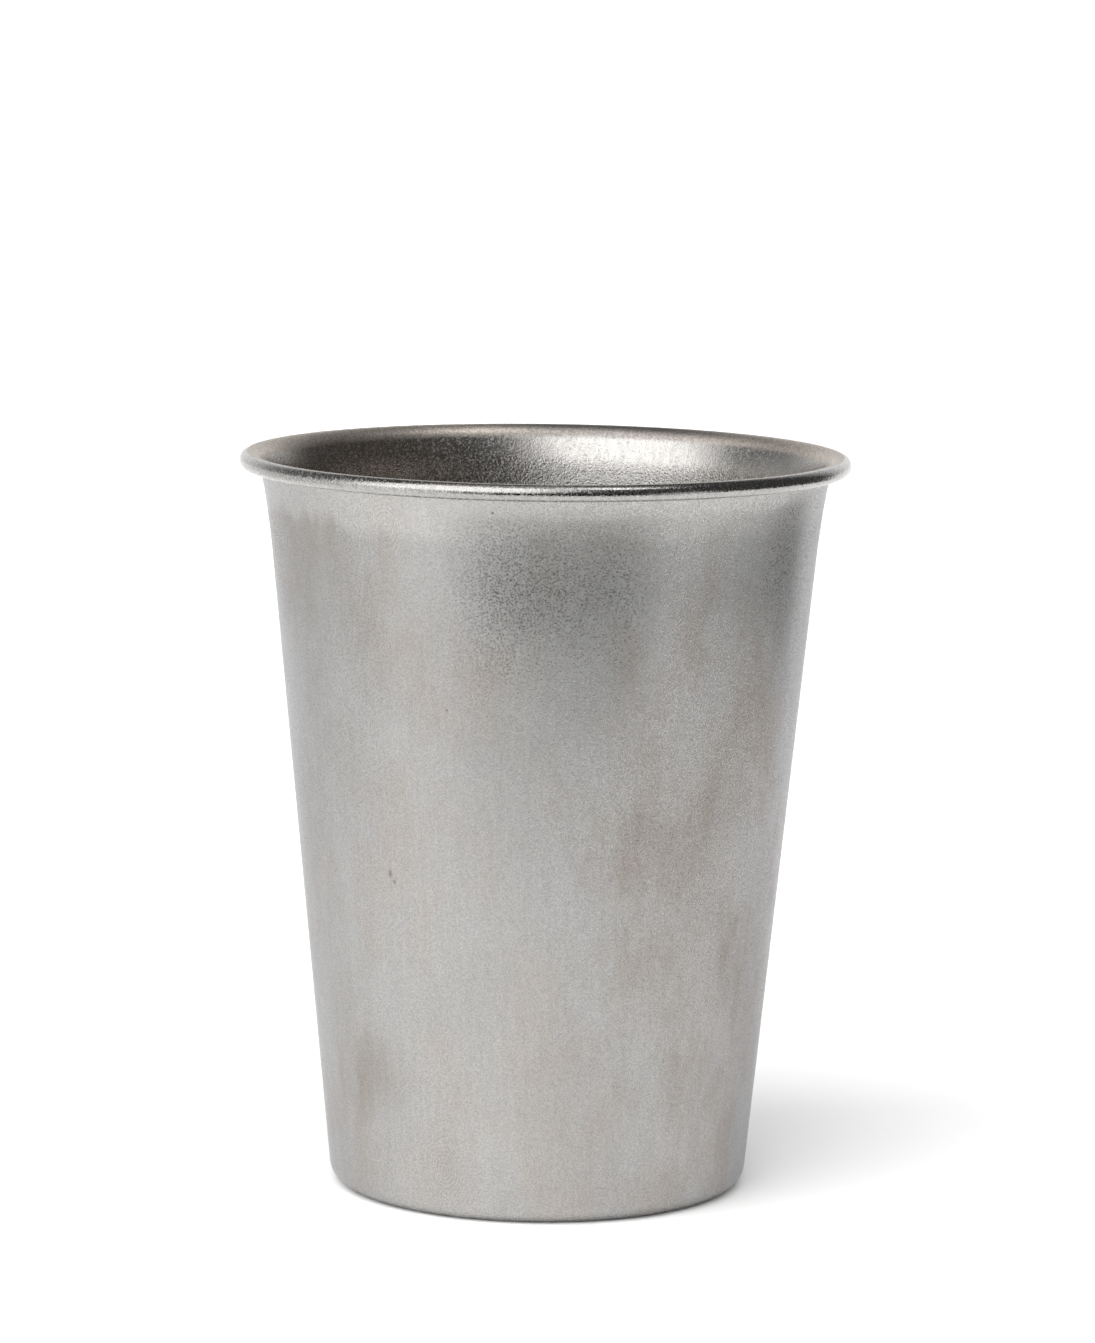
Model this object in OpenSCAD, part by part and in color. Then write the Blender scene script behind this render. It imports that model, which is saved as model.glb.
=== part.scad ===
// Camping cup without a handle: one disc of stainless sheet, drawn into a tapered beaker
// with a pushed-up base panel, a flared mouth and a rim rolled outwards into a hollow bead.
// Millimetres. The cup stands on z = 0 and its axis is z.

/* [Cup] */
// Height from the table to the top of the rolled rim
cup_height = 103; // [85:0.5:125]
// Outside diameter over the rolled rim
rim_d = 85; // [78:0.5:95]
// Outside diameter of the tapered wall where it would meet the table, were the corner sharp
foot_d = 58; // [48:0.5:66]
// Outside radius of the drawn corner between the base and the wall
corner_r = 3; // [1.8:0.1:6]
// Thickness of the sheet
sheet_t = 0.6; // [0.4:0.05:0.8]

/* [Mouth] */
// Angle that the soft flare at the top of the wall adds to the taper, in degrees
flare_turn = 3.5; // [1:0.25:8]
// Radius of the soft flare, on the outside
flare_r = 150; // [60:5:300]
// Angle that the tighter throat between the flare and the lip adds to it, in degrees
throat_turn = 11; // [4:0.5:20]
// Radius of the throat, on the outside
throat_r = 22; // [8:1:50]
// Radius of the lip where the throat turns level, on the drinking side
lip_r = 2; // [1.8:0.05:4]
// Diameter of the rolled bead
bead_d = 2.3; // [1.9:0.05:2.6]
// Gap left between the rolled edge and the underside of the lip
curl_gap = 0.4; // [0.2:0.05:0.7]

/* [Base] */
// Height that the middle of the base is pushed up by
panel_rise = 1; // [0.3:0.1:2]
// Width of the flat ring that the cup stands on
ring_w = 3; // [1.5:0.1:6]
// Inside radius of the two bends between the ring and the raised panel
step_r = 1.3; // [0.8:0.1:3]

/* [Hidden] */
sheet_colour = "#b9b6b0";

// Sides of the round cup, and straight steps in each bend of its profile.
round_sides = 72;
bend_steps = 4;
corner_steps = 7;
flare_steps = 3;
throat_steps = 4;
lip_steps = 7;
half_round_steps = 12;
tuck_steps = 5;

// Bead and lip share a vertical centre line, so the sheet runs level where the lip becomes the bead.
bead_r = bead_d / 2;
bead_c = [rim_d / 2 - bead_r, cup_height - bead_r];
lip_c = [bead_c.x, cup_height - lip_r];
lip_under_r = lip_r - sheet_t;

// The roll stops where its edge comes within the gap of the lip's underside, measured from the lip's centre.
lip_drop = lip_r - bead_r;
edge_reach = lip_under_r - curl_gap;
edge_dip = asin((bead_r * bead_r + lip_drop * lip_drop - edge_reach * edge_reach) / (2 * bead_r * lip_drop));

// Taper of the straight wall from the vertical. The outside line starts at the foot and touches the flare,
// the flare touches the throat and the throat touches the lip, so the line passes the lip's centre
// at a distance that the radii and the turns fix.
foot = [foot_d / 2, 0];
foot_to_lip = lip_c - foot;
flare_reach = flare_r - throat_r;
throat_reach = throat_r - lip_under_r;
lip_offset = flare_r - flare_reach * cos(flare_turn) - throat_reach * cos(flare_turn + throat_turn);
taper = atan2(foot_to_lip.x, foot_to_lip.y) - asin(lip_offset / norm(foot_to_lip));
throat_lean = taper + flare_turn;
lip_lean = throat_lean + throat_turn;
throat_c = lip_c + throat_reach * [cos(lip_lean), -sin(lip_lean)];
flare_c = throat_c + flare_reach * [cos(throat_lean), -sin(throat_lean)];

// Drawn corner, tangent to the table and to the wall.
corner_c = [foot.x - corner_r * (1 - sin(taper)) / cos(taper), corner_r];

// Two equal and opposite bends lift the panel above the standing ring.
step_mid_r = step_r + sheet_t / 2;
step_turn = acos(1 - panel_rise / (2 * step_mid_r));
ring_inner_r = corner_c.x - ring_w;
step_low_c = [ring_inner_r, step_r + sheet_t];
step_top_c = [ring_inner_r - 2 * step_mid_r * sin(step_turn), panel_rise - step_r];

// Points along an arc of the profile, from one angle to another. A first of 1 leaves out
// the starting point, where the arc carries on from the one before it.
function arc(centre, radius, from, to, steps, first = 0) =
    [for (i = [first : steps])
        let (angle = from + (to - from) * i / steps)
        centre + radius * [cos(angle), sin(angle)]];

function reversed(points) = [for (i = [len(points) - 1 : -1 : 0]) points[i]];

// One face of the sheet from the axis to the rolled edge, at a depth below the outside face:
// 0 is the outside of the cup and the inside of the roll, sheet_t is the drinking side.
function sheet_face(depth) = concat(
    [[0, panel_rise + depth]],
    arc(step_top_c, step_r + depth, 90, 90 - step_turn, bend_steps),
    arc(step_low_c, step_r + sheet_t - depth, -90 - step_turn, -90, bend_steps, 1),
    arc(corner_c, corner_r - depth, -90, -taper, corner_steps),
    arc(flare_c, flare_r + depth, 180 - taper, 180 - throat_lean, flare_steps),
    arc(throat_c, throat_r + depth, 180 - throat_lean, 180 - lip_lean, throat_steps, 1),
    arc(lip_c, lip_under_r + depth, 180 - lip_lean, 90, lip_steps, 1),
    arc(bead_c, bead_r - sheet_t + depth, 90, -90, half_round_steps, 1),
    arc(bead_c, bead_r - sheet_t + depth, -90, edge_dip - 180, tuck_steps, 1)
);

module cup_body() {
    color(sheet_colour)
    rotate_extrude($fn = round_sides)
    polygon(concat(sheet_face(0), reversed(sheet_face(sheet_t))));
}

cup_body();
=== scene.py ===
"""Camping cup without a handle, pressed from one sheet of tumbled stainless steel, on a studio floor."""
import math

import bmesh
import bpy
from mathutils import Matrix, Vector


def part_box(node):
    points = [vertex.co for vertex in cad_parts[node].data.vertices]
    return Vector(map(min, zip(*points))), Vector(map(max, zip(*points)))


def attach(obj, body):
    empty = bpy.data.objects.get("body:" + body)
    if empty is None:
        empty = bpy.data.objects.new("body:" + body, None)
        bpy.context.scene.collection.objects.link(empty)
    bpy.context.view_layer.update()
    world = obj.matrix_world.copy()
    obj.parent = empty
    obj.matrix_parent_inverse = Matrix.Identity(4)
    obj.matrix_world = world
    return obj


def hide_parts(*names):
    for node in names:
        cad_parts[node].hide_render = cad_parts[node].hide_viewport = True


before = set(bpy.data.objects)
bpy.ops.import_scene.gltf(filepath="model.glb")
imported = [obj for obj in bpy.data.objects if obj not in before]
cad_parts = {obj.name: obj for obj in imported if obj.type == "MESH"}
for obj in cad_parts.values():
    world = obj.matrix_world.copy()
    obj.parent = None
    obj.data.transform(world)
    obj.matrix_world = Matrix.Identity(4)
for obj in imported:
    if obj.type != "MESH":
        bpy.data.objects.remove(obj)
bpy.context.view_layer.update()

# The cup body: one disc of stainless sheet, deep drawn into a tapered beaker. The base panel is pushed up,
# the mouth is flared, and the trimmed edge is rolled out and down into a hollow bead. The line below is
# the outside of the sheet, from the middle of the base to the rolled edge.
MM = 0.001
_, cup_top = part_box("cup_body")
rim_r = cup_top.x
cup_height = cup_top.z
sheet_t = 0.6 * MM
foot_r = 29 * MM
corner_r = 3 * MM
flare_turn = math.radians(3.5)
flare_r = 150 * MM
throat_turn = math.radians(11)
throat_r = 22 * MM
lip_r = 2.0 * MM
bead_r = 1.15 * MM
curl_gap = 0.4 * MM
panel_rise = 1 * MM
ring_w = 3 * MM
step_r = 1.3 * MM

bead_centre = Vector((rim_r - bead_r, 0, cup_height - bead_r))
lip_centre = Vector((bead_centre.x, 0, cup_height - lip_r))
lip_under_r = lip_r - sheet_t
lip_drop = lip_r - bead_r
edge_reach = lip_under_r - curl_gap
edge_dip = math.asin((bead_r**2 + lip_drop**2 - edge_reach**2) / (2 * bead_r * lip_drop))

foot_to_lip = lip_centre - Vector((foot_r, 0, 0))
throat_reach = throat_r - lip_under_r
flare_reach = flare_r - throat_r
lip_offset = (flare_r - flare_reach * math.cos(flare_turn)
              - throat_reach * math.cos(flare_turn + throat_turn))
taper = math.atan2(foot_to_lip.x, foot_to_lip.z) - math.asin(lip_offset / foot_to_lip.length)
throat_lean = taper + flare_turn
lip_lean = throat_lean + throat_turn
throat_centre = lip_centre + throat_reach * Vector((math.cos(lip_lean), 0, -math.sin(lip_lean)))
flare_centre = throat_centre + flare_reach * Vector((math.cos(throat_lean), 0, -math.sin(throat_lean)))
flare_start = flare_centre + flare_r * Vector((-math.cos(taper), 0, math.sin(taper)))

corner_x = foot_r - corner_r * (1 - math.sin(taper)) / math.cos(taper)
corner_centre = Vector((corner_x, 0, corner_r))
step_mid_r = step_r + sheet_t / 2
step_turn = math.acos(1 - panel_rise / (2 * step_mid_r))
step_low = Vector((corner_x - ring_w, 0, step_r + sheet_t))
step_top = Vector((step_low.x - 2 * step_mid_r * math.sin(step_turn), 0, panel_rise - step_r))


def draw_on(line, end, to, rows):
    """Carries the sheet's line straight on to a point, in equal rows, and returns its new end."""
    start = end.co.copy()
    for row in range(1, rows + 1):
        end = bmesh.ops.extrude_vert_indiv(line, verts=[end])["verts"][0]
        end.co = start.lerp(to, row / rows)
    return end


def bend_round(line, end, centre, turn, rows):
    """Bends the line round a centre, outwards and down for a positive turn, and returns its new end."""
    bent = bmesh.ops.spin(line, geom=[end], cent=centre, axis=(0, 1, 0), angle=turn, steps=rows)
    return bent["geom_last"][0]


panel_rows = 12
step_rows = 6
ring_rows = 3
corner_rows = 10
wall_rows = 48
flare_rows = 6
throat_rows = 8
lip_rows = 10
bead_rows = 26
sheet = bmesh.new()
end = sheet.verts.new((0, 0, panel_rise))
end = draw_on(sheet, end, Vector((step_top.x, 0, panel_rise)), panel_rows)
end = bend_round(sheet, end, step_top, step_turn, step_rows)
end = bend_round(sheet, end, step_low, -step_turn, step_rows)
end = draw_on(sheet, end, Vector((corner_x, 0, 0)), ring_rows)
end = bend_round(sheet, end, corner_centre, taper - math.pi / 2, corner_rows)
end = draw_on(sheet, end, flare_start, wall_rows)
end = bend_round(sheet, end, flare_centre, flare_turn, flare_rows)
end = bend_round(sheet, end, throat_centre, throat_turn, throat_rows)
end = bend_round(sheet, end, lip_centre, math.pi / 2 - lip_lean, lip_rows)
end = bend_round(sheet, end, bead_centre, 3 * math.pi / 2 - edge_dip, bead_rows)

cup_columns = 240
same_point = 0.005 * MM
bmesh.ops.spin(sheet, geom=sheet.verts[:] + sheet.edges[:], cent=(0, 0, 0), axis=(0, 0, 1),
               angle=2 * math.pi, steps=cup_columns, use_merge=True)
bmesh.ops.remove_doubles(sheet, verts=sheet.verts, dist=same_point)
bmesh.ops.recalc_face_normals(sheet, faces=sheet.faces)
drinking_side = bmesh.ops.solidify(sheet, geom=sheet.faces[:], thickness=-sheet_t)
# The thickness goes inwards, which leaves the closed shell inside out, so its faces are turned round.
bmesh.ops.reverse_faces(sheet, faces=sheet.faces)
for part in drinking_side["geom"]:
    if isinstance(part, bmesh.types.BMFace):
        part.material_index = 1

cup_mesh = bpy.data.meshes.new("cup_body_dressed")
sheet.to_mesh(cup_mesh)
sheet.free()
cup_mesh.shade_smooth()
cup = bpy.data.objects.new("cup_body_dressed", cup_mesh)
bpy.context.scene.collection.objects.link(cup)
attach(cup, "root")
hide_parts("cup_body")


def put(tree, kind, inputs, **settings):
    """Adds a node to a tree, with its settings, and with its inputs linked or given a value."""
    node = tree.nodes.new("ShaderNode" + kind)
    for name, value in settings.items():
        setattr(node, name, value)
    for name, value in inputs.items():
        if isinstance(value, bpy.types.NodeSocket):
            tree.links.new(value, node.inputs[name])
        else:
            node.inputs[name].default_value = value
    return node.outputs


def calc(tree, operation, *values):
    """Adds a Math node and returns its value."""
    return put(tree, "Math", dict(enumerate(values)), operation=operation)[0]


def ease(tree, value, low, high, to_low=0.0, to_high=1.0):
    """Turns a value between two levels into a soft mask, or into a soft slide between two other values."""
    return put(tree, "MapRange", {"Value": value, "From Min": low, "From Max": high,
                                  "To Min": to_low, "To Max": to_high}, interpolation_type="SMOOTHSTEP")[0]


def blend_values(tree, amount, under, over):
    """Slides from one value to another."""
    return put(tree, "Mix", {0: amount, 2: under, 3: over})[0]


def tint(tree, amount, under, over, blend="MIX"):
    """Lays one colour over another."""
    return put(tree, "Mix", {0: amount, 6: under, 7: over}, data_type="RGBA", blend_type=blend)[2]


def grey(tree, value):
    """Makes a grey of a value."""
    return put(tree, "CombineColor", {0: value, 1: value, 2: value})[0]


def finish_group(name, outputs):
    """Starts a group for one trait of the finish. It reads a place on the cup, in millimetres."""
    group = bpy.data.node_groups.new(name, "ShaderNodeTree")
    group.interface.new_socket("Place", in_out="INPUT", socket_type="NodeSocketVector")
    for output in outputs:
        group.interface.new_socket(output, in_out="OUTPUT", socket_type="NodeSocketFloat")
    place = group.nodes.new("NodeGroupInput").outputs["Place"]
    return group, place, group.nodes.new("NodeGroupOutput").inputs


# Tumbling with stones leaves a fine sandy grain of dents, dull flecks and smoother facets.
noise_low = 0.3
noise_high = 0.7
grain, place, out = finish_group("tumbled grain", ["Dents", "Flecks", "Facets"])
dents = put(grain, "TexNoise", {"Vector": place, "Scale": 4.0, "Detail": 1.0, "Roughness": 0.6})[0]
grain.links.new(dents, out["Dents"])
moved = put(grain, "Mapping", {"Vector": place, "Location": (31.0, 17.0, 11.0)})[0]
flecks = put(grain, "TexNoise", {"Vector": moved, "Scale": 3.4, "Detail": 1.0})[0]
grain.links.new(ease(grain, flecks, noise_low, noise_high), out["Flecks"])
moved = put(grain, "Mapping", {"Vector": place, "Location": (7.0, 53.0, 29.0)})[0]
facets = put(grain, "TexNoise", {"Vector": moved, "Scale": 4.6, "Detail": 1.0})[0]
grain.links.new(ease(grain, facets, noise_low, noise_high), out["Facets"])

# Handling and washing leave soft brownish clouds that run up and down the wall.
stains, place, out = finish_group("handling stains", ["Clouds", "Smudges", "Streaks"])
upright = put(stains, "Mapping", {"Vector": place, "Location": (0.0, 23.0, 5.0),
                                  "Scale": (0.11, 0.11, 0.05)})[0]
clouds = put(stains, "TexNoise", {"Vector": upright, "Scale": 1.0, "Detail": 4.0, "Roughness": 0.6})[0]
stains.links.new(ease(stains, clouds, 0.42, 0.72), out["Clouds"])
broad = put(stains, "Mapping", {"Vector": place, "Location": (40.0, 8.0, 3.0),
                                "Scale": (0.05, 0.05, 0.04)})[0]
smudges = put(stains, "TexNoise", {"Vector": broad, "Scale": 1.0, "Detail": 2.0})[0]
stains.links.new(ease(stains, smudges, 0.4, 0.7), out["Smudges"])
drawn = put(stains, "Mapping", {"Vector": place, "Scale": (1.5, 1.5, 0.05)})[0]
streaks = put(stains, "TexNoise", {"Vector": drawn, "Scale": 1.0, "Detail": 2.0})[0]
stains.links.new(ease(stains, streaks, noise_low, noise_high), out["Streaks"])

# Knocks leave a few dark pits, and rubbing against other cups leaves short fine scratches.
largest_pit = 0.05
pit_slope = 0.02
half_scratch = 0.004
marks, place, out = finish_group("pits and scratches", ["Pits", "Scratches"])
pit_cells = put(marks, "TexVoronoi", {"Vector": place, "Scale": 0.16})
pit_size = calc(marks, "MULTIPLY", pit_cells["Color"], largest_pit)
pit_depth = calc(marks, "SUBTRACT", pit_size, pit_cells["Distance"])
marks.links.new(ease(marks, pit_depth, 0.0, pit_slope), out["Pits"])
paths = put(marks, "TexNoise", {"Vector": place, "Scale": 0.13, "Detail": 1.0})[0]
path_off = calc(marks, "ABSOLUTE", calc(marks, "SUBTRACT", paths, 0.5))
line = ease(marks, path_off, 0.0, half_scratch, 1.0, 0.0)
breaks = put(marks, "TexNoise", {"Vector": place, "Scale": 0.22})[0]
marks.links.new(calc(marks, "MULTIPLY", line, ease(marks, breaks, 0.55, 0.62)), out["Scratches"])


def new_finish(name, groups):
    """Starts a material of this cup, with the place in millimetres and the finish groups that read it."""
    material = bpy.data.materials.new(name)
    material.use_nodes = True
    tree = material.node_tree
    spot = put(tree, "TexCoord", {})["Object"]
    place = put(tree, "Mapping", {"Vector": spot, "Scale": (1 / MM, 1 / MM, 1 / MM)})[0]
    traits = [put(tree, "Group", {}, node_tree=group) for group in groups]
    for trait in traits:
        tree.links.new(place, trait[0].node.inputs["Place"])
    cup_mesh.materials.append(material)
    return tree, tree.nodes["Principled BSDF"], place, *traits


def on_wall(angle, up):
    """Finds a place on the wall, in millimetres, at an angle round the cup from the front and at a height."""
    wall_r = foot_r / MM + up * math.tan(taper)
    return Vector((wall_r * math.sin(math.radians(angle)), -wall_r * math.cos(math.radians(angle)), up))


# The outside is dull grey, clouded with brown, and paler towards the rim, from a ragged line a little below
# it.
tree, shader, place, sand, cloud, mark = new_finish("tumbled_outside", (grain, stains, marks))
shader.inputs["Metallic"].default_value = 1.0
shader.inputs["Specular Tint"].default_value = (0.78, 0.785, 0.81, 1)
steel_grey = (0.43, 0.4245, 0.4165, 1)
stain_brown = (0.40, 0.375, 0.353, 1)
smudge_grey = (0.30, 0.29, 0.282, 1)
band_pale = (0.515, 0.503, 0.49, 1)
colour = tint(tree, calc(tree, "MULTIPLY", cloud["Clouds"], 0.9), steel_grey, stain_brown)
colour = tint(tree, calc(tree, "MULTIPLY", cloud["Smudges"], 0.2), colour, smudge_grey)
height = put(tree, "SeparateXYZ", {"Vector": place})["Z"]
band_from = 93.4
band_full = 96.4
ragged_height = calc(tree, "MULTIPLY_ADD", cloud["Clouds"], -2.0, height)
pale_upper_band = ease(tree, ragged_height, band_from, band_full)
colour = tint(tree, calc(tree, "MULTIPLY", pale_upper_band, 0.9), colour, band_pale)

# The larger marks: each has an angle round the cup, in degrees, then a height, a half width and a half
# height, in millimetres, and a strength. Rubbed parts are lighter, and parts held by wet fingers are brown.
# Some marks are painted light instead: a painted reflection makes the lower front left paler, and painted
# shade darkens the right side and the low edges on both sides.
rubbed_and_reflection_pale = (1.18, 1.17, 1.16, 1)
finger_stain_and_shade_brown = (0.82, 0.79, 0.76, 1)
knock_dark = (0.5, 0.48, 0.46, 1)
larger_marks = (
    # Painted reflection: the lower front left is paler where the steel mirrors the bright floor in front.
    (-17, 6, 17, 55, 0.75, rubbed_and_reflection_pale),
    # Painted shade: this broad brown darkens the right side, turned away from the key light.
    (38, 48, 18, 40, 0.7, finger_stain_and_shade_brown),
    (-39, 80, 5, 10, 0.4, finger_stain_and_shade_brown),
    (-47, 19, 9, 7, 0.8, finger_stain_and_shade_brown),
    (47, 59, 5, 10, 0.5, finger_stain_and_shade_brown),
    (29, 53, 8, 12, 0.3, finger_stain_and_shade_brown),
    (52, 31, 4, 9, 0.5, finger_stain_and_shade_brown),
    (-64, 88, 9, 9, 0.25, finger_stain_and_shade_brown),
    # Painted shade: these two darken the low edges at the right and at the left.
    (64, 32, 9, 26, 0.6, finger_stain_and_shade_brown),
    (-58, 26, 9, 18, 0.5, finger_stain_and_shade_brown),
    (-9, 76, 8, 13, 0.5, rubbed_and_reflection_pale),
    (150, 62, 8, 15, 0.6, finger_stain_and_shade_brown),
    (-128, 38, 7, 12, 0.6, finger_stain_and_shade_brown),
    (98, 74, 6, 10, 0.6, finger_stain_and_shade_brown),
    (-170, 20, 15, 18, 0.6, rubbed_and_reflection_pale),
    (-37, 48.2, 0.3, 0.55, 0.75, knock_dark),
    (-35.9, 47.1, 0.3, 0.35, 0.75, knock_dark),
)
for mark_angle, mark_up, half_wide, half_high, mark_depth, mark_colour in larger_marks:
    mark_at = on_wall(mark_angle, mark_up)
    spread = Vector((1 / half_wide, 1 / half_wide, 1 / half_high))
    inside_mark = put(tree, "Mapping", {"Vector": place, "Location": -mark_at * spread,
                                        "Scale": spread})[0]
    off_centre = put(tree, "VectorMath", {0: inside_mark}, operation="LENGTH")["Value"]
    ragged = calc(tree, "MULTIPLY_ADD", cloud["Clouds"], -0.5, off_centre)
    amount = ease(tree, ragged, 1.1, -0.1, 0.0, mark_depth)
    colour = tint(tree, amount, colour, mark_colour, "MULTIPLY")

# Fingerprints: oval whorls of fine ridges, each at an angle round the cup and at a height.
print_half = 7.0
print_shape = Vector((1.15, 1.15, 0.75))
print_strength = 0.65
finger_prints = ((-25, 7), (-33, 96), (112, 58), (131, 62), (-140, 70))
for print_angle, print_up in finger_prints:
    print_at = on_wall(print_angle, print_up)
    inside_print = put(tree, "Mapping", {"Vector": place, "Location": -print_at * print_shape,
                                         "Scale": print_shape})[0]
    off_centre = put(tree, "VectorMath", {0: inside_print}, operation="LENGTH")["Value"]
    ridges = put(tree, "TexWave", {"Vector": inside_print, "Scale": 0.66, "Distortion": 16.0,
                                   "Detail": 0.0, "Detail Scale": 0.4},
                 wave_type="RINGS", rings_direction="SPHERICAL")[1]
    amount = calc(tree, "MULTIPLY", ridges, ease(tree, off_centre, print_half, 1.0, 0.0, print_strength))
    colour = tint(tree, amount, colour, finger_stain_and_shade_brown, "MULTIPLY")

pit_black = (0.09, 0.08, 0.075, 1)
scratch_bright = (0.6, 0.6, 0.6, 1)
grains = calc(tree, "MULTIPLY", ease(tree, sand["Flecks"], 0.0, 1.0, 0.86, 1.02),
              ease(tree, cloud["Streaks"], 0.0, 1.0, 0.97, 1.01))
colour = tint(tree, 1.0, colour, grey(tree, grains), "MULTIPLY")
colour = tint(tree, calc(tree, "MULTIPLY", mark["Pits"], 0.7), colour, pit_black)
colour = tint(tree, calc(tree, "MULTIPLY", mark["Scratches"], 0.25), colour, scratch_bright)
tree.links.new(colour, shader.inputs["Base Color"])
facet_gloss = ease(tree, sand["Facets"], 0.25, 1.0, 0.23, 0.45)
rough_specks = ease(tree, sand["Flecks"], 0.5, 1.0, 0.0, 0.2)
tree.links.new(calc(tree, "ADD", facet_gloss, rough_specks), shader.inputs["Roughness"])
outside_dent = 0.015 * MM
bump = put(tree, "Bump", {"Strength": 1.0, "Distance": outside_dent, "Height": sand["Dents"]})[0]
tree.links.new(bump, shader.inputs["Normal"])

# The inside and the rim are shinier and grittier than the outside. The lip is warm, with painted shade
# darkening it at the back, and the bead is rubbed smooth, less so on its left. Heights and places are in
# millimetres.
tree, shader, place, sand, cloud = new_finish("tumbled_inside_and_rim", (grain, stains))
shader.inputs["Metallic"].default_value = 1.0
spot = put(tree, "SeparateXYZ", {"Vector": place})
height = spot["Z"]
level_place = put(tree, "VectorMath", {0: place, 1: (1, 1, 0)}, operation="MULTIPLY")[0]
off_axis = put(tree, "VectorMath", {0: level_place}, operation="LENGTH")["Value"]
gritty_height = calc(tree, "MULTIPLY_ADD", sand["Facets"], 0.3, height)
lip_part = ease(tree, gritty_height, 101.15, 101.9)
bead_part = calc(tree, "MULTIPLY", lip_part, ease(tree, off_axis, 41.3, 41.7))
bead_part = calc(tree, "MAXIMUM", bead_part, ease(tree, off_axis, 41.7, 42.0))

inside_grey = (0.445, 0.433, 0.42, 1)
mouth_shade = (0.84, 0.84, 0.84, 1)
deep_steel = (0.76, 0.745, 0.725, 1)
colour = tint(tree, calc(tree, "MULTIPLY", cloud["Clouds"], 0.3), inside_grey, stain_brown)
# Painted shade: the inside is darker below the mouth. Deeper down it turns to paler steel, partly the steel's
# own tone and partly painted light.
colour = tint(tree, ease(tree, height, 98.5, 95.0), colour, mouth_shade, "MULTIPLY")
colour = tint(tree, ease(tree, height, 86.0, 66.0), colour, deep_steel)

tea_at = (-26.0, 28.0, 92.0)
tea_brown = (1.04, 0.95, 0.87, 1)
off_tea = put(tree, "VectorMath", {0: place, 1: tea_at}, operation="DISTANCE")["Value"]
ragged = calc(tree, "MULTIPLY_ADD", cloud["Clouds"], -8.0, off_tea)
colour = tint(tree, ease(tree, ragged, 26.0, 6.0), colour, tea_brown, "MULTIPLY")

# Painted shade: the lip is darkened round a point at its back right.
lip_shade_at = (10.0, 39.0, 102.0)
lip_warm = (0.72, 0.65, 0.585, 1)
lip_painted_shade = (0.34, 0.315, 0.295, 1)
bead_grey = (0.43, 0.42, 0.408, 1)
off_lip_shade = put(tree, "VectorMath", {0: place, 1: lip_shade_at}, operation="DISTANCE")["Value"]
lip_colour = tint(tree, ease(tree, off_lip_shade, 24.0, 6.0), lip_warm, lip_painted_shade)
colour = tint(tree, lip_part, colour, lip_colour)
colour = tint(tree, bead_part, colour, bead_grey)

lip_fleck = 0.74
dullest_fleck = blend_values(tree, lip_part, ease(tree, height, 96.5, 99.0, 0.66, 0.93), lip_fleck)
grains = calc(tree, "MULTIPLY", ease(tree, sand["Flecks"], 0.0, 1.0, dullest_fleck, 1.09),
              ease(tree, cloud["Streaks"], 0.0, 1.0, 0.93, 1.04))
colour = tint(tree, 1.0, colour, grey(tree, grains), "MULTIPLY")
tree.links.new(colour, shader.inputs["Base Color"])

speck_from = 0.55
wall_speck = 0.28
lip_gloss = 0.45
facet_gloss = ease(tree, sand["Facets"], 0.0, 1.0, 0.11, 0.27)
wall_gloss = calc(tree, "ADD", facet_gloss, ease(tree, sand["Flecks"], speck_from, 1.0, 0.0, wall_speck))
throat_gloss = calc(tree, "MAXIMUM", wall_gloss, ease(tree, height, 97.0, 99.5, 0.11, 0.23))
worn_left = ease(tree, spot["X"], 22.0, -8.0, 0.08, wall_speck)
bead_gloss = calc(tree, "ADD", facet_gloss, ease(tree, sand["Flecks"], speck_from, 1.0, 0.0, worn_left))
gloss = blend_values(tree, lip_part, throat_gloss, lip_gloss)
gloss = blend_values(tree, bead_part, gloss, bead_gloss)
tree.links.new(gloss, shader.inputs["Roughness"])
inside_dent = 0.075 * MM
dent_share = ease(tree, height, 96.5, 99.5, 1.0, 0.35)
bump = put(tree, "Bump", {"Strength": 1.0, "Distance": inside_dent,
                          "Height": calc(tree, "MULTIPLY", sand["Dents"], dent_share)})[0]
tree.links.new(bump, shader.inputs["Normal"])

# The floor: a wide sheet of matt white studio paper, seamless past the picture's edges. The cup stands on
# it by the flat ring of its base.
floor_reach = 24.0
paper = bmesh.new()
bmesh.ops.create_circle(paper, cap_ends=True, segments=3, radius=floor_reach)
floor_mesh = bpy.data.meshes.new("floor")
paper.to_mesh(floor_mesh)
paper.free()
floor = bpy.data.objects.new("floor", floor_mesh)
bpy.context.scene.collection.objects.link(floor)
paper_white = bpy.data.materials.new("paper_white")
paper_white.use_nodes = True
paper_shader = paper_white.node_tree.nodes["Principled BSDF"]
paper_shader.inputs["Base Color"].default_value = (0.8, 0.8, 0.8, 1)
paper_shader.inputs["Roughness"].default_value = 1.0
paper_shader.inputs["Specular IOR Level"].default_value = 0.0
floor_mesh.materials.append(paper_white)


# The light: one very wide soft key high on the front left and a weak fill from the whole ceiling. The steel
# sees neither of them: it sees a dim room, and cards that are a softbox, a smaller light and dark boards.
def add_soft_light(name, azimuth, elevation, spread, energy):
    """Adds a broad light from one side, in degrees, that gives shadows and lights the paper alone."""
    lamp = bpy.data.lights.new(name, "SUN")
    lamp.energy = energy
    lamp.angle = math.radians(spread)
    light = bpy.data.objects.new(name, lamp)
    bpy.context.scene.collection.objects.link(light)
    level = math.cos(math.radians(elevation))
    light_from = Vector((math.sin(math.radians(azimuth)) * level,
                         -math.cos(math.radians(azimuth)) * level,
                         math.sin(math.radians(elevation))))
    light.rotation_mode = "QUATERNION"
    light.rotation_quaternion = light_from.to_track_quat("Z", "Y")
    light.visible_glossy = False


add_soft_light("soft_key", azimuth=-25, elevation=40, spread=80, energy=4.6)
add_soft_light("ceiling_fill", azimuth=0, elevation=90, spread=160, energy=1.7)

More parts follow.
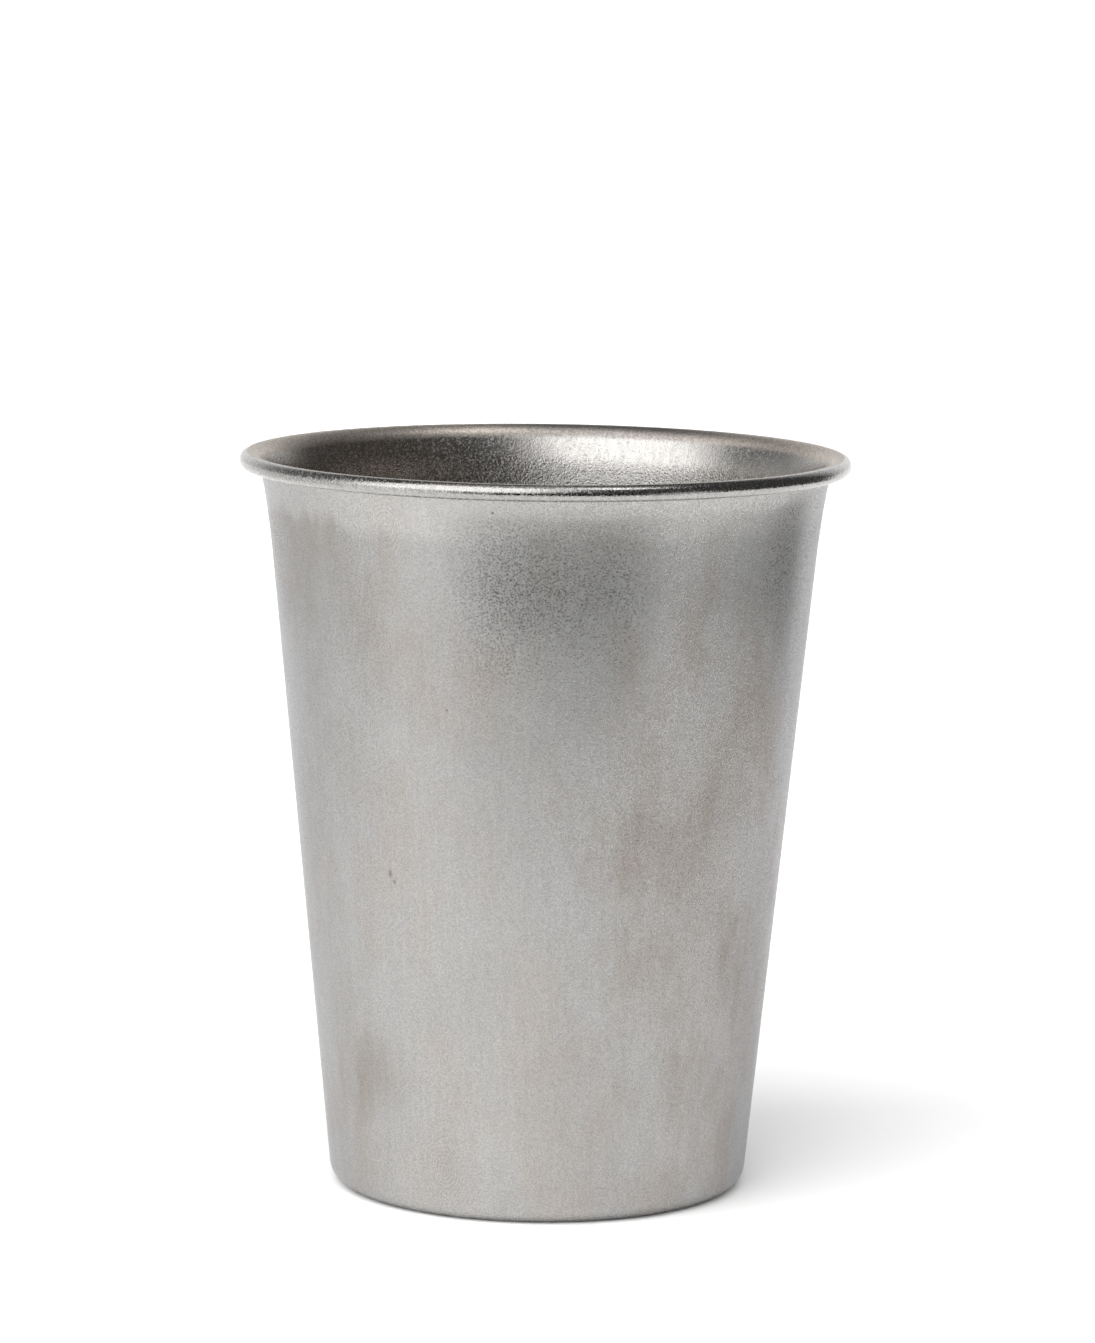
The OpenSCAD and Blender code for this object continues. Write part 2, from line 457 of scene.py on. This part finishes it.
room = bpy.data.worlds.new("room")
room.use_nodes = True
bpy.context.scene.world = room
sky = room.node_tree
towards = put(sky, "SeparateXYZ", {"Vector": put(sky, "TexCoord", {})["Generated"]})
low = ease(sky, towards["Z"], 0.29, -0.04, 0.16, 1.0)
left_glow = calc(sky, "MULTIPLY", low, ease(sky, towards["X"], -0.4, -1.0))
behind = ease(sky, towards["Z"], 0.75, 0.25)
back_glow = calc(sky, "MULTIPLY", behind, ease(sky, towards["Y"], 0.5, 0.95, 0.0, 1.1))
top_glow = ease(sky, towards["Z"], 0.88, 1.0, 0.08, 0.6)
glow = calc(sky, "ADD", calc(sky, "ADD", left_glow, back_glow), top_glow)
sky.links.new(grey(sky, glow), sky.nodes["Background"].inputs["Color"])
bpy.context.scene.view_settings.view_transform = "Standard"

# The cards: each bends round the cup from one angle to another and fades at both ends over its soft edge,
# in degrees, and the softbox is cut back low on its right. Then come the card's distance from the axis, its
# foot and its top, in metres, and how bright it is.
card_bends = 12
cut_from = 0.45
cut_full = 0.17
cards = (
    ("softbox", -91, 21, 30, 13, 0.6, 0.142, 1.7, 2.5),
    ("small_light", 16, 72, 14, 0, 0.35, 0.55, 1.8, 3.0),
    ("left_card", -137, -68, 14, 0, 0.22, 0.0005, 0.1, 1.1),
    ("front_card", -44, 60, 30, 0, 0.2, 0.0235, 0.115, 0.02),
    ("right_card", 50, 135, 14, 0, 0.3, 0.012, 0.5, 0.07),
)
for card_name, card_from, card_to, soft_edge, foot_cut, card_off, card_foot, card_top, card_tone in cards:
    card = bmesh.new()
    foot = card.verts.new((0, -card_off, card_foot))
    top = card.verts.new((0, -card_off, card_top))
    side = card.edges.new((foot, top))
    bmesh.ops.rotate(card, verts=card.verts, cent=(0, 0, 0),
                     matrix=Matrix.Rotation(math.radians(card_from), 3, "Z"))
    bmesh.ops.spin(card, geom=[foot, top, side], cent=(0, 0, 0), axis=(0, 0, 1),
                   angle=math.radians(card_to - card_from), steps=card_bends)
    card_mesh = bpy.data.meshes.new(card_name)
    card.to_mesh(card_mesh)
    card.free()
    card_paint = bpy.data.materials.new(card_name)
    card_paint.use_nodes = True
    paint = card_paint.node_tree
    card_shader = paint.nodes["Principled BSDF"]
    card_shader.inputs["Base Color"].default_value = (0, 0, 0, 1)
    card_shader.inputs["Specular IOR Level"].default_value = 0.0
    card_shader.inputs["Emission Color"].default_value = (1, 1, 1, 1)
    card_shader.inputs["Emission Strength"].default_value = card_tone
    card_spot = put(paint, "SeparateXYZ", {0: put(paint, "TexCoord", {})["Object"]})
    forwards = calc(paint, "MULTIPLY", card_spot["Y"], -1.0)
    round_cup = calc(paint, "DEGREES", calc(paint, "ARCTAN2", card_spot["X"], forwards))
    near_end = ease(paint, round_cup, card_from, card_from + soft_edge)
    low_cut = ease(paint, card_spot["Z"], cut_from, cut_full, 0.0, foot_cut)
    cut_back = calc(paint, "ADD", round_cup, low_cut)
    far_end = ease(paint, cut_back, card_to, card_to - soft_edge)
    paint.links.new(calc(paint, "MULTIPLY", near_end, far_end), card_shader.inputs["Alpha"])
    card_mesh.materials.append(card_paint)
    shade_card = bpy.data.objects.new(card_name, card_mesh)
    bpy.context.scene.collection.objects.link(shade_card)
    shade_card.visible_camera = False
    shade_card.visible_diffuse = False
    shade_card.visible_shadow = False

# The camera: a long lens a little above the rim, turned slightly, as the picture was taken. It aims at a
# point next to the cup's axis, and its lens is given in pixels of the picture.
photo_height = 1343
lens_pixels = 5681.8
eye_distance = 793.8 * MM
eye_elevation = math.radians(8.072)
eye_roll = math.radians(0.7206)
aim = Vector((0.61 * MM, 0, 72.3 * MM))
camera_data = bpy.data.cameras.new("camera")
camera_data.sensor_width = 36
camera_data.lens = lens_pixels / photo_height * camera_data.sensor_width
camera_data.clip_start = 0.01
camera = bpy.data.objects.new("camera", camera_data)
bpy.context.scene.collection.objects.link(camera)
back = Vector((0, -math.cos(eye_elevation), math.sin(eye_elevation)))
turn = back.to_track_quat("Z", "Y").to_matrix() @ Matrix.Rotation(eye_roll, 3, "Z")
camera.matrix_world = Matrix.Translation(aim + back * eye_distance) @ turn.to_4x4()
bpy.context.scene.camera = camera
